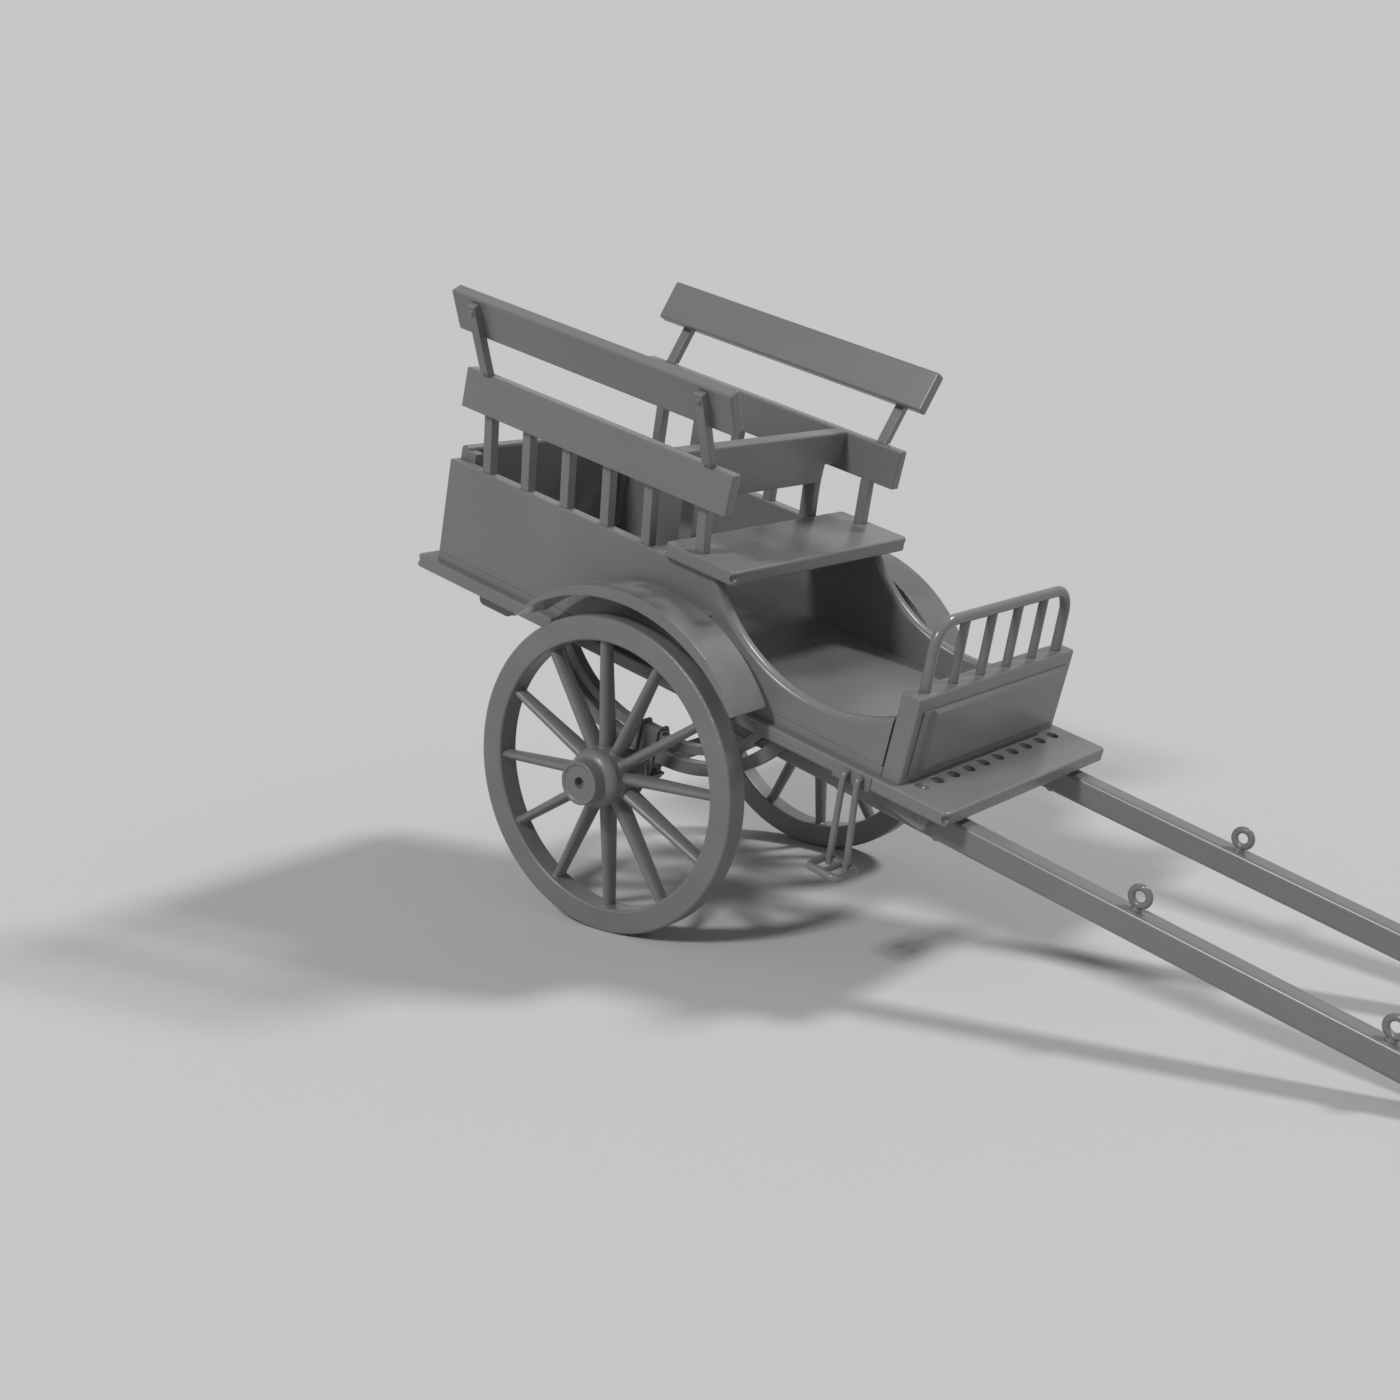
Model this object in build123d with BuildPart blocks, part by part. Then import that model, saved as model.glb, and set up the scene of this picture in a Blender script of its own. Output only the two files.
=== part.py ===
from build123d import *
import os
from math import acos, atan2, cos, degrees, hypot, radians, sin, sqrt, tan

# Two-wheeled passenger cart, parked on its wheels and the tips of its shafts.
# Every piece is drawn with the floor level and the axle's centre at the origin:
# +X towards the shaft tips, +Y towards the cart's left side, +Z up, in millimetres.
# Paired pieces are drawn for the left side and mirrored for the right; the step is on the right only.

# Wheels
WHEEL_RADIUS = 600
RIM_DEPTH = 93
RIM_WIDTH = 93
RIM_EDGE_ROUND = 10
WHEEL_CLEARANCE = 75.5  # between the floor's edge and the rim
SPOKE_COUNT = 12
SPOKE_AT_HUB = (92, 46)  # along the axle, in the plane of the wheel
SPOKE_AT_RIM = (54, 34)
HUB_BAND_RADIUS = 108  # where the spokes stand
HUB_SHOULDER = (72, 112)  # distance from the middle plane, radius
HUB_SHOULDER_CROWN = (97, 104)
HUB_NECK = (112, 87)
HUB_NOSE_RADIUS = 82
HUB_NOSE_END = 168
HUB_BACK_END = 118
HUB_BACK_RADIUS = 72
HUB_FACE_LIP = 11
HUB_FACE_DEPTH = 6
HUB_EDGE_ROUND = 4

# Axle
AXLE_ARM_RADIUS = 22
AXLE_RUNNING_GAP = 0.05
AXLE_SIDE_GAP = 1
AXLE_BEAM_SIDE = 50
AXLE_EDGE_ROUND = 5
AXLE_COLLAR_RADIUS = 40
AXLE_COLLAR_WIDTH = 22
AXLE_ARM_SHORT_OF_NOSE = 34

# Floor and body
FLOOR_REAR = -1247
FLOOR_FRONT = 1320
FLOOR_HALF_WIDTH = 575
FLOOR_TOP = 409
FLOOR_THICK = 52
LINING_THICK = 34  # raised inner floor that carries the panels
LINING_EDGE_ROUND = 4
BOARD_CORNER = 22
BOARD_EDGE_ROUND = 9
DENT_RADIUS = 15  # round hollow in each corner of a board
DENT_DEPTH = 14
PIT_COUNT = 10
PIT_SPREAD = 928  # first to last
PIT_AHEAD_OF_DASH = 42
PIT_RADIUS = 26
PIT_DEPTH = 24
PANEL_INSET = 35  # from the floor's edge to the outer faces of the panels
PANEL_THICK = 56
PANEL_REAR_FOOT = -1163
PANEL_REAR_HEAD = -1180
PANEL_SEAM_FOOT = 191
PANEL_SEAM_HEAD = 150
PANEL_SWEEP_RADIUS = 640
PANEL_SWEEP_LOW = (700, 547)  # lowest point of the swept front
PANEL_EDGE_ROUND = 20
PANEL_TOP_ROUND = 7
PANEL_DASH_GAP = 5
TAIL_THICK = 40
TAIL_TOP = 880
TAIL_EDGE_ROUND = 18
CORNER_POST_SIDE = 38
CORNER_POST_BELOW_TOP = 16
CORNER_POST_ROUND = 10

# Dash
DASH_BACK = 1020
DASH_THICK = 80
DASH_PAST_PANEL = 3
DASH_TOP = 730
DASH_EDGE_ROUND = 10
DASH_PANEL_MARGIN = 97  # at the sides
DASH_PANEL_HEAD = 54  # below the top of the dash
DASH_PANEL_FOOT = 32  # above the floor
DASH_PANEL_RAISE = 18
DASH_STILE_WIDTH = 60  # flat strip at each end of the raised field
DASH_STILE_RAISE = 5
DASH_PANEL_BEVEL = 12
HOOP_TUBE_RADIUS = 20
HOOP_BEND = 95
HOOP_INSET = 81  # from the ends of the dash
HOOP_CENTRE_TOP = 970
HOOP_LEAN = 3.5  # degrees back from upright
HOOP_SOCKET = 5
SPINDLE_RADIUS = 17
SPINDLE_COUNT = 4

# Seat and rails
SEAT_REAR = -55
SEAT_FRONT = 275
SEAT_OVERHANG = 28  # beyond the side panels
SEAT_TOP = 882
SEAT_THICK = 56
POST_SIDE = 42
POST_EDGE_ROUND = 4
POST_LEAN_BACK = 6.5  # degrees from upright
POST_LEAN_OUT = 3.3
POST_REAR_X = -991
POST_PITCH = 205.5
POST_COUNT = 5
SEAT_POST_X = 77
RAIL_REAR = -1147
RAIL_FRONT = 178
RAIL_FOOT = 1054
RAIL_HEIGHT = 154
RAIL_PAST_PANEL = 27
RAIL_THICK = 50
RAIL_EDGE_ROUND = 8
BACKREST_REAR = -1170
BACKREST_FRONT = 186
BACKREST_HEIGHT = 168
BACKREST_THICK = 50
BACKREST_LEAN = 27  # degrees outwards from upright
BACKREST_PAST_PANEL = 115  # middle of its outer face
BACKREST_MIDDLE_HEIGHT = 1426
BRACKET_XS = (-1041, 64)
BRACKET_WIDTH = 40
BRACKET_THICK = 32
BRACKET_SHORT_OF_TOP = 16
BRACKET_HEAD_ROUND = 7
CROSS_RAIL_FRONT = -80
CROSS_RAIL_THICK = 60
CROSS_RAIL_END_HEIGHT = 126
CROSS_RAIL_HEIGHT = 198
CROSS_RAIL_END_LENGTH = 113  # of the shallow ends
CROSS_POST_WIDTH = 38
BEARER_BEAM_FRONT = -30
BEARER_BEAM_HEIGHT = 70
BEARER_BEAM_OVERHANG = 8

# Under the floor
SHAFT_INSET = 165  # from the floor's edge to the middle of the shaft
SHAFT_WIDTH = 85
SHAFT_HEIGHT = 100
SHAFT_REAR = 200
SHAFT_TIP_CENTRE = 3148  # centre of the rounded tip, ahead of the axle
SHAFT_DROOP = 1.03  # degrees below the floor
SHAFT_EDGE_ROUND = 16
PACKING_REAR = 1150
PACKING_FRONT = 1290
PACKING_WIDTH = 60
EYE_XS = (1972, 2842)
EYE_RING_RADIUS = 31
EYE_WIRE_RADIUS = 12.5
EYE_BORE_RADIUS = 19.5
EYE_NECK = 4
EYE_STEM_RADIUS = 11
EYE_FOOT_RADIUS = 21
EYE_FOOT_HEIGHT = 9
BLOCK_WIDTH = 45
REAR_BLOCK = (-950, -770)  # rear and front ends
REAR_BLOCK_DEPTH = 61
REAR_BLOCK_ROUND = 28
FRONT_BLOCK = (985, 1214)
FRONT_BLOCK_DEPTHS = (51, 90)  # at the rear, at the front
FRONT_BLOCK_ROUND = 24

# Springs
SPRING_WIDTH = 45
SPRING_FLAT = 60  # half length of the clamped flat
SPRING_SEAT = 30  # underside of the lower leaf above the axle's centre
SPRING_LOWER = (630, 48)  # radius of the underside, thickness
SPRING_UPPER = (551, 33)
CLAMP_LENGTH = 120
CLAMP_CAP = 12
CLAMP_PLATE = 10  # under the axle
CLAMP_PLATE_OVERHANG = 22
CLAMP_BOLT_RADIUS = 7
CLAMP_BOLT_GAP = 1.5  # beside the spring
CLAMP_BOLT_SEAT = 1.5  # sunk in the cap
CLAMP_BOLT_BEND = 12
CLAMP_BOLT_SPACING = 84
CLAMP_BOLT_TAIL = 22  # below the plate

# Mudguards
GUARD_FRONT_ANGLE = 41.5  # degrees from +X about the axle
GUARD_CREST_ANGLE = 88
GUARD_REAR_ANGLE = 139.5
GUARD_FRONT_GAP = 101  # above the rim
GUARD_CREST_GAP = 81
GUARD_REAR_GAP = 84
GUARD_FRONT_THICK = 16
GUARD_CREST_THICK = 45
GUARD_PAST_WHEEL = 83  # beyond the middle plane of the wheel
GUARD_PANEL_GAP = 44
GUARD_CORNER_ROUND = 15
GUARD_STAY_ANGLES = (76, 110)
GUARD_STAY_GAP = 103
GUARD_STAY_WIDTH = 40
GUARD_STAY_THICK = 14

# Step
STEP_PLATE = (855, 1010)  # rear and front ends
STEP_PLATE_THICK = 5
STEP_PLATE_DROP = 6  # below the floor's top
STEP_ROD_RADIUS = 12
STEP_ROD_BEND = 18
STEP_ROD_HEADS = (915, 972)
STEP_ROD_FEET = (943, 1016)
STEP_ROD_BELOW_TOP = 19
STEP_ROD_PAST_TREAD = 14
STEP_REACH = 24
STEP_TREAD = (922, 1047)  # rear and front bars of the tread
STEP_TREAD_GAP = 8
STEP_TREAD_WIDTH = 120
STEP_TREAD_HEIGHT = 66
STEP_TREAD_RADIUS = 14
STEP_TREAD_CORNER = 24
STEP_BAR_RADIUS = 11

# Sizes that follow from those above
wheel_y = FLOOR_HALF_WIDTH + WHEEL_CLEARANCE + RIM_WIDTH / 2
floor_under = FLOOR_TOP - FLOOR_THICK
lining_top = FLOOR_TOP + LINING_THICK
panel_outer_y = FLOOR_HALF_WIDTH - PANEL_INSET
panel_inner_y = panel_outer_y - PANEL_THICK
panel_top = SEAT_TOP - SEAT_THICK
panel_middle_y = panel_outer_y - PANEL_THICK / 2
dash_front = DASH_BACK + DASH_THICK
dash_half_width = panel_outer_y + DASH_PAST_PANEL
hoop_x = DASH_BACK + DASH_THICK / 2
hoop_half_width = dash_half_width - HOOP_INSET
rail_top = RAIL_FOOT + RAIL_HEIGHT
rail_outer_y = panel_outer_y + RAIL_PAST_PANEL
rail_inner_y = rail_outer_y - RAIL_THICK
shaft_slope = tan(radians(SHAFT_DROOP))
shaft_y = FLOOR_HALF_WIDTH - SHAFT_INSET
block_outer_y = shaft_y + SHAFT_WIDTH / 2 + BLOCK_WIDTH
rim_inner_radius = WHEEL_RADIUS - RIM_DEPTH
hub_bore = AXLE_ARM_RADIUS + AXLE_RUNNING_GAP
tip_radius = SHAFT_HEIGHT / 2


def shaft_top(x):
    """Height of the shaft's top face at a distance ahead of the axle."""
    return floor_under - (x - SHAFT_REAR) * shaft_slope


tip_centre_z = shaft_top(SHAFT_TIP_CENTRE) - tip_radius / cos(radians(SHAFT_DROOP))
tip_reach = hypot(SHAFT_TIP_CENTRE, tip_centre_z)
parked_tilt = degrees(
    acos((tip_radius - WHEEL_RADIUS) / tip_reach) - atan2(SHAFT_TIP_CENTRE, tip_centre_z)
)


def edged_board(rear, front, half_width, top, thick):
    """A board with rounded corners and edges, and a round hollow in each corner."""
    dent_inset = BOARD_CORNER * (1 - sqrt(1 / 2)) - (DENT_RADIUS - DENT_DEPTH) * sqrt(1 / 2)
    with BuildPart() as board:
        with BuildSketch(Plane.XY.offset(top - thick)):
            with Locations(((rear + front) / 2, 0)):
                RectangleRounded(front - rear, 2 * half_width, BOARD_CORNER)
        extrude(amount=thick)
        for face in (board.faces().sort_by(Axis.Z)[0], board.faces().sort_by(Axis.Z)[-1]):
            fillet(face.outer_wire().edges(), BOARD_EDGE_ROUND)
        for dent_x in (rear + dent_inset, front - dent_inset):
            for dent_y in (dent_inset - half_width, half_width - dent_inset):
                with Locations((dent_x, dent_y, top - thick / 2)):
                    Sphere(DENT_RADIUS, mode=Mode.SUBTRACT)
    return board.part


# Wheel, drawn flat with its outer face up, then stood up on the axle
with BuildPart() as rim:
    with BuildSketch(Plane.XZ):
        with Locations((WHEEL_RADIUS - RIM_DEPTH / 2, 0)):
            RectangleRounded(RIM_DEPTH, RIM_WIDTH, RIM_EDGE_ROUND)
    revolve(axis=Axis.Z)

with BuildPart() as hub:
    with BuildSketch(Plane.XZ):
        with BuildLine():
            for end in (-1, 1):
                ThreePointArc(
                    (HUB_NECK[1], end * HUB_NECK[0]),
                    (HUB_SHOULDER_CROWN[1], end * HUB_SHOULDER_CROWN[0]),
                    (HUB_SHOULDER[1], end * HUB_SHOULDER[0]),
                )
            Polyline(
                (HUB_SHOULDER[1], -HUB_SHOULDER[0]),
                (HUB_BAND_RADIUS, -HUB_SHOULDER[0]),
                (HUB_BAND_RADIUS, HUB_SHOULDER[0]),
                (HUB_SHOULDER[1], HUB_SHOULDER[0]),
            )
            Polyline(
                (HUB_NECK[1], HUB_NECK[0]),
                (HUB_NOSE_RADIUS, HUB_NECK[0]),
                (HUB_NOSE_RADIUS, HUB_NOSE_END),
                (HUB_NOSE_RADIUS - HUB_FACE_LIP, HUB_NOSE_END),
                (HUB_NOSE_RADIUS - HUB_FACE_LIP - HUB_FACE_DEPTH, HUB_NOSE_END - HUB_FACE_DEPTH),
                (hub_bore, HUB_NOSE_END - HUB_FACE_DEPTH),
                (hub_bore, -HUB_BACK_END),
                (HUB_BACK_RADIUS, -HUB_BACK_END),
                (HUB_NECK[1], -HUB_NECK[0]),
            )
        make_face()
    revolve(axis=Axis.Z)
    fillet(hub.edges().filter_by(GeomType.CIRCLE).group_by(Axis.Z)[-1], HUB_EDGE_ROUND)

with BuildPart() as spoke:
    with BuildSketch(Plane.YZ.offset(HUB_NECK[1] / 2)):
        Ellipse(SPOKE_AT_HUB[1] / 2, SPOKE_AT_HUB[0] / 2)
    with BuildSketch(Plane.YZ.offset(rim_inner_radius + RIM_DEPTH / 2)):
        Ellipse(SPOKE_AT_RIM[1] / 2, SPOKE_AT_RIM[0] / 2)
    loft()
    add(hub.part, mode=Mode.SUBTRACT)
    add(rim.part, mode=Mode.SUBTRACT)
    with BuildSketch(Plane.XY.offset(-SPOKE_AT_HUB[0])):
        Circle(HUB_BAND_RADIUS)
    extrude(amount=2 * SPOKE_AT_HUB[0], mode=Mode.SUBTRACT)

with BuildPart() as spokes:
    with PolarLocations(0, SPOKE_COUNT):
        add(spoke.part)

# Axle: square beam with a collar and a round arm at each end
collar_face_y = wheel_y - HUB_BACK_END - AXLE_SIDE_GAP
arm_end_y = wheel_y + HUB_NOSE_END - AXLE_ARM_SHORT_OF_NOSE
with BuildPart() as axle_beam:
    with BuildSketch(Plane.XZ.offset(-collar_face_y)):
        RectangleRounded(AXLE_BEAM_SIDE, AXLE_BEAM_SIDE, AXLE_EDGE_ROUND)
    extrude(amount=2 * collar_face_y)
    for end in (-1, 1):
        with BuildSketch(Plane.XZ.offset(end * (collar_face_y - AXLE_COLLAR_WIDTH))):
            Circle(AXLE_COLLAR_RADIUS)
        extrude(amount=end * AXLE_COLLAR_WIDTH)
    with BuildSketch(Plane.XZ.offset(-arm_end_y)):
        Circle(AXLE_ARM_RADIUS)
    extrude(amount=2 * arm_end_y)

# Floor with a row of round pits ahead of the dash
dish_radius = (PIT_RADIUS**2 + PIT_DEPTH**2) / (2 * PIT_DEPTH)
with BuildPart() as floor_board:
    add(edged_board(FLOOR_REAR, FLOOR_FRONT, FLOOR_HALF_WIDTH, FLOOR_TOP, FLOOR_THICK))
    with Locations((dash_front + PIT_AHEAD_OF_DASH, 0, FLOOR_TOP + dish_radius - PIT_DEPTH)):
        with GridLocations(1, PIT_SPREAD / (PIT_COUNT - 1), 1, PIT_COUNT):
            Sphere(dish_radius, mode=Mode.SUBTRACT)

# Raised inner floor, flush with the outer faces of the panels that stand on it
with BuildPart() as floor_lining:
    with BuildSketch(Plane.XY.offset(FLOOR_TOP)):
        with Locations(((PANEL_REAR_FOOT + DASH_BACK) / 2, 0)):
            Rectangle(DASH_BACK - PANEL_REAR_FOOT, 2 * panel_outer_y)
    extrude(amount=LINING_THICK)
    fillet(floor_lining.edges().filter_by(Axis.X).group_by(Axis.Z)[-1], LINING_EDGE_ROUND)

# Side panels: a straight rear board and a swept front board that meet under the seat
sweep_centre_z = PANEL_SWEEP_LOW[1] + PANEL_SWEEP_RADIUS


def sweep_height(x):
    """Height of the swept edge at a distance ahead of the axle."""
    return sweep_centre_z - sqrt(PANEL_SWEEP_RADIUS**2 - (x - PANEL_SWEEP_LOW[0]) ** 2)


sweep_end = DASH_BACK - PANEL_DASH_GAP
sweep_start = PANEL_SWEEP_LOW[0] - sqrt(
    PANEL_SWEEP_RADIUS**2 - (sweep_centre_z - panel_top) ** 2
)
panel_rake = (PANEL_REAR_FOOT - PANEL_REAR_HEAD) / (panel_top - lining_top)
with BuildPart() as side_panel:
    with BuildSketch(Plane.XZ.offset(-panel_outer_y)):
        Polygon(
            (PANEL_REAR_FOOT, lining_top),
            (PANEL_SEAM_FOOT, lining_top),
            (PANEL_SEAM_HEAD, panel_top),
            (PANEL_REAR_HEAD, panel_top),
            align=None,
        )
    extrude(amount=PANEL_THICK)
    top_edges = side_panel.edges().group_by(Axis.Z)[-1]
    fillet(top_edges.filter_by(Axis.X) + top_edges.filter_by(Axis.Y).sort_by(Axis.X)[:1], PANEL_TOP_ROUND)

with BuildPart() as swept_panel:
    with BuildSketch(Plane.XZ.offset(-panel_outer_y)):
        with BuildLine():
            Polyline(
                (sweep_start, panel_top),
                (PANEL_SEAM_HEAD, panel_top),
                (PANEL_SEAM_FOOT, lining_top),
                (sweep_end, lining_top),
                (sweep_end, sweep_height(sweep_end)),
            )
            ThreePointArc(
                (sweep_end, sweep_height(sweep_end)),
                PANEL_SWEEP_LOW,
                (sweep_start, panel_top),
            )
        make_face()
    extrude(amount=PANEL_THICK)
    fillet(swept_panel.edges().filter_by(GeomType.CIRCLE), PANEL_EDGE_ROUND)

tail_head_x = PANEL_REAR_FOOT - (TAIL_TOP - lining_top) * panel_rake
with BuildPart() as tail_board:
    with BuildSketch(Plane.XZ.offset(-panel_inner_y)):
        Polygon(
            (PANEL_REAR_FOOT, lining_top),
            (PANEL_REAR_FOOT + TAIL_THICK, lining_top),
            (tail_head_x + TAIL_THICK, TAIL_TOP),
            (tail_head_x, TAIL_TOP),
            align=None,
        )
    extrude(amount=2 * panel_inner_y)
    fillet(tail_board.edges().group_by(Axis.Z)[-1].filter_by(Axis.Y), TAIL_EDGE_ROUND)

# Posts in the rear corners, where the tail and the side panels meet
corner_top = TAIL_TOP - CORNER_POST_BELOW_TOP
corner_foot_x = PANEL_REAR_FOOT + TAIL_THICK
corner_head_x = corner_foot_x - (corner_top - lining_top) * panel_rake
with BuildPart() as corner_post:
    with BuildSketch(Plane.XZ.offset(-panel_inner_y)):
        Polygon(
            (corner_foot_x, lining_top),
            (corner_foot_x + CORNER_POST_SIDE, lining_top),
            (corner_head_x + CORNER_POST_SIDE, corner_top),
            (corner_head_x, corner_top),
            align=None,
        )
    extrude(amount=CORNER_POST_SIDE)
    fillet(corner_post.edges().group_by(Axis.Z)[-1].sort_by(Axis.X)[-1], CORNER_POST_ROUND)

# Dash with a raised panel, and a hoop rail with coped spindles on its top edge
with BuildPart() as dash_board:
    with BuildSketch(Plane.XY.offset(FLOOR_TOP)):
        with Locations((hoop_x, 0)):
            Rectangle(DASH_THICK, 2 * dash_half_width)
    extrude(amount=DASH_TOP - FLOOR_TOP)
    fillet(dash_board.edges().group_by(Axis.Z)[-1] + dash_board.edges().filter_by(Axis.Z), DASH_EDGE_ROUND)

panel_foot = FLOOR_TOP + DASH_PANEL_FOOT
panel_head = DASH_TOP - DASH_PANEL_HEAD
with BuildPart() as dash_panel:
    with BuildSketch(Plane.YZ.offset(dash_front)):
        with Locations((0, (panel_foot + panel_head) / 2)):
            Rectangle(2 * (dash_half_width - DASH_PANEL_MARGIN), panel_head - panel_foot)
    extrude(amount=DASH_PANEL_RAISE)
    chamfer(dash_panel.faces().sort_by(Axis.X)[-1].edges(), DASH_PANEL_BEVEL)
    with BuildSketch(Plane.YZ.offset(dash_front)):
        with Locations((0, (panel_foot + panel_head) / 2)):
            Rectangle(2 * (dash_half_width - DASH_PANEL_MARGIN + DASH_STILE_WIDTH), panel_head - panel_foot)
    extrude(amount=DASH_STILE_RAISE)

hoop_lean = radians(HOOP_LEAN)
hoop_up = Vector(-sin(hoop_lean), 0, cos(hoop_lean))
hoop_rise = HOOP_CENTRE_TOP - DASH_TOP
hoop_base = Vector(hoop_x, 0, DASH_TOP) - hoop_up * HOOP_SOCKET
hoop_foot = Plane(origin=hoop_base, x_dir=(0, 1, 0), z_dir=hoop_up)
with BuildPart() as dash_hoop:
    with BuildLine(Plane(origin=hoop_foot.origin, x_dir=(0, 1, 0), z_dir=-hoop_foot.y_dir)) as hoop_path:
        FilletPolyline(
            (-hoop_half_width, 0),
            (-hoop_half_width, hoop_rise + HOOP_SOCKET),
            (hoop_half_width, hoop_rise + HOOP_SOCKET),
            (hoop_half_width, 0),
            radius=HOOP_BEND,
        )
    with BuildSketch(Plane(origin=hoop_path.line @ 0, z_dir=hoop_path.line % 0)):
        Circle(HOOP_TUBE_RADIUS)
    sweep(path=hoop_path.line)
    add(dash_board.part, mode=Mode.SUBTRACT)

spindle_pitch = 2 * hoop_half_width / (SPINDLE_COUNT + 1)
with BuildPart() as dash_spindles:
    with BuildSketch(hoop_foot):
        with GridLocations(spindle_pitch, 1, SPINDLE_COUNT, 1):
            Circle(SPINDLE_RADIUS)
    extrude(amount=hoop_rise + HOOP_SOCKET)
    add(dash_hoop.part, mode=Mode.SUBTRACT)
    add(dash_board.part, mode=Mode.SUBTRACT)

# Seat plank on the side panels, and the beam under its rear edge
with BuildPart() as seat_plank:
    add(edged_board(SEAT_REAR, SEAT_FRONT, panel_outer_y + SEAT_OVERHANG, SEAT_TOP, SEAT_THICK))

cross_rail_rear = CROSS_RAIL_FRONT - CROSS_RAIL_THICK
beam_rear = cross_rail_rear + BEARER_BEAM_OVERHANG
with BuildPart() as seat_beam:
    with BuildSketch(Plane.XZ.offset(-panel_inner_y)):
        with Locations(((beam_rear + BEARER_BEAM_FRONT) / 2, panel_top - BEARER_BEAM_HEIGHT / 2)):
            Rectangle(BEARER_BEAM_FRONT - beam_rear, BEARER_BEAM_HEIGHT)
    extrude(amount=2 * panel_inner_y)

# Rail posts: five on the side panel, one on the seat plank, all leaning back and out
back_slope = tan(radians(POST_LEAN_BACK))
out_slope = tan(radians(POST_LEAN_OUT))
with BuildPart() as rail_posts:
    post_table = [(POST_REAR_X + i * POST_PITCH, panel_top) for i in range(POST_COUNT)]
    post_table.append((SEAT_POST_X, SEAT_TOP))
    for post_x, post_foot in post_table:
        rise = RAIL_FOOT - post_foot
        with BuildSketch(Plane.XY.offset(post_foot)):
            with Locations((post_x, panel_middle_y)):
                RectangleRounded(POST_SIDE, POST_SIDE, POST_EDGE_ROUND)
        with BuildSketch(Plane.XY.offset(RAIL_FOOT)):
            with Locations((post_x - rise * back_slope, panel_middle_y + rise * out_slope)):
                RectangleRounded(POST_SIDE, POST_SIDE, POST_EDGE_ROUND)
        loft()

with BuildPart() as lower_rail:
    with BuildSketch(Plane.XZ.offset(-rail_outer_y)):
        with Locations(((RAIL_REAR + RAIL_FRONT) / 2, RAIL_FOOT + RAIL_HEIGHT / 2)):
            Rectangle(RAIL_FRONT - RAIL_REAR, RAIL_HEIGHT)
    extrude(amount=RAIL_THICK)
    fillet(lower_rail.edges().filter_by(Axis.Z) + lower_rail.edges().group_by(Axis.Z)[-1], RAIL_EDGE_ROUND)

# Backrest board on the outer side of the rail, leaning outwards on two brackets
lean = radians(BACKREST_LEAN)
backrest_face = Plane(
    origin=(0, panel_outer_y + BACKREST_PAST_PANEL, BACKREST_MIDDLE_HEIGHT),
    x_dir=(1, 0, 0),
    z_dir=(0, cos(lean), -sin(lean)),
)
with BuildPart() as upper_rail:
    with BuildSketch(backrest_face):
        with Locations(((BACKREST_REAR + BACKREST_FRONT) / 2, 0)):
            Rectangle(BACKREST_FRONT - BACKREST_REAR, BACKREST_HEIGHT)
    extrude(amount=-BACKREST_THICK)
    fillet(upper_rail.edges(), RAIL_EDGE_ROUND)

bracket_head = BACKREST_HEIGHT / 2 - BRACKET_SHORT_OF_TOP
bracket_foot = (BACKREST_MIDDLE_HEIGHT - rail_top) / cos(lean) + BACKREST_THICK
with BuildPart() as rail_brackets:
    with BuildSketch(backrest_face):
        for bracket_x in BRACKET_XS:
            with Locations((bracket_x, (bracket_foot - bracket_head) / 2)):
                Rectangle(BRACKET_WIDTH, bracket_foot + bracket_head)
    extrude(amount=BRACKET_THICK)
    fillet(rail_brackets.edges().filter_by(Axis.X).group_by(Axis.Z)[-1], BRACKET_HEAD_ROUND)
    split(bisect_by=Plane.XY.offset(rail_top), keep=Keep.TOP)

# Driver's back rail between the two lower rails, deep over its two posts behind the seat
cross_rail_foot = rail_top - CROSS_RAIL_HEIGHT
cross_end_foot = rail_top - CROSS_RAIL_END_HEIGHT
cross_deep_half = rail_inner_y - CROSS_RAIL_END_LENGTH
with BuildPart() as cross_rail:
    with BuildSketch(Plane.YZ.offset(cross_rail_rear)):
        with Locations((0, (rail_top + cross_end_foot) / 2)):
            Rectangle(2 * rail_inner_y, CROSS_RAIL_END_HEIGHT)
        with Locations((0, (rail_top + cross_rail_foot) / 2)):
            Rectangle(2 * cross_deep_half, CROSS_RAIL_HEIGHT)
    extrude(amount=CROSS_RAIL_THICK)
    fillet(cross_rail.edges().filter_by(Axis.Y).group_by(Axis.Z)[-1], RAIL_EDGE_ROUND)

with BuildPart() as cross_posts:
    cross_rise = cross_rail_foot - panel_top
    cross_post_y = cross_deep_half - CROSS_POST_WIDTH / 2
    for side in (-1, 1):
        for height, shift in ((panel_top, cross_rise * back_slope), (cross_rail_foot, 0)):
            with BuildSketch(Plane.XY.offset(height)):
                with Locations((cross_rail_rear + CROSS_RAIL_THICK / 2 + shift, side * cross_post_y)):
                    RectangleRounded(CROSS_RAIL_THICK, CROSS_POST_WIDTH, POST_EDGE_ROUND)
        loft()

# Shafts, drooping a little from the floor, with round tips that rest on the ground
droop = radians(SHAFT_DROOP)
along = Vector(cos(droop), -sin(droop))
down = Vector(-sin(droop), -cos(droop))
nose_top = Vector(SHAFT_TIP_CENTRE, tip_centre_z) - down * tip_radius
rear_top = Vector(SHAFT_REAR, floor_under)
with BuildPart() as shaft:
    with BuildSketch(Plane.XZ.offset(-shaft_y - SHAFT_WIDTH / 2)):
        with BuildLine():
            Polyline(nose_top, rear_top, rear_top + down * SHAFT_HEIGHT, nose_top + down * SHAFT_HEIGHT)
            ThreePointArc(
                nose_top + down * SHAFT_HEIGHT,
                nose_top + down * tip_radius + along * tip_radius,
                nose_top,
            )
        make_face()
    extrude(amount=SHAFT_WIDTH)
    fillet(shaft.edges().filter_by(Axis.Y, reverse=True), SHAFT_EDGE_ROUND)

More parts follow.
